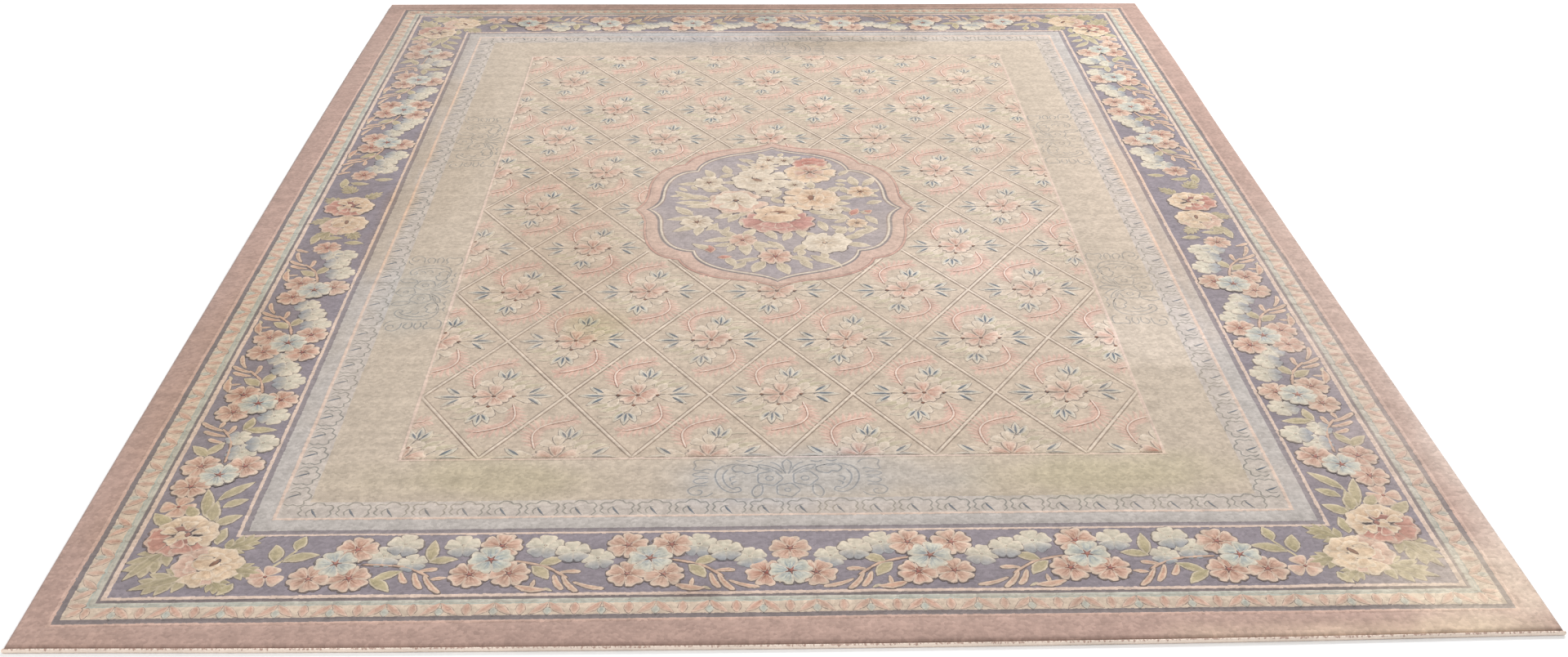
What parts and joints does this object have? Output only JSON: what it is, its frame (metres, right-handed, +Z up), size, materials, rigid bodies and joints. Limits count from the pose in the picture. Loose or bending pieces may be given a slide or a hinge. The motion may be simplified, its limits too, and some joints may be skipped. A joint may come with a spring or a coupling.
{
  "type": "chinese rug",
  "caption": "Flat rectangular carved wool pile rug with bound ends, corded sides, a blossom border, a diamond lattice panel and a lobed, pointed medallion.",
  "frame": {"origin": "middle of the underside, on the surface that the rug lies on", "axes": "+Z up out of the pile, +Y along the long way from the front end to the back end, +X to the right seen from the front end"},
  "size_m": [2.7718, 3.6926, 0.014],
  "materials": {
    "pile_wool": "cut wool pile, washed, in faded rose, slate lavender, pale blue, beige and peach",
    "cream_cotton": "cream cotton, overcast by hand",
    "cord_wool": "pale rose-grey wool wrapped over the outer warps"
  },
  "bodies": {
    "root": {"rug_pile": "pile_wool", "front_end_binding": "cream_cotton", "back_end_binding": "cream_cotton", "left_side_cord": "cord_wool", "right_side_cord": "cord_wool"}
  },
  "joints": []
}
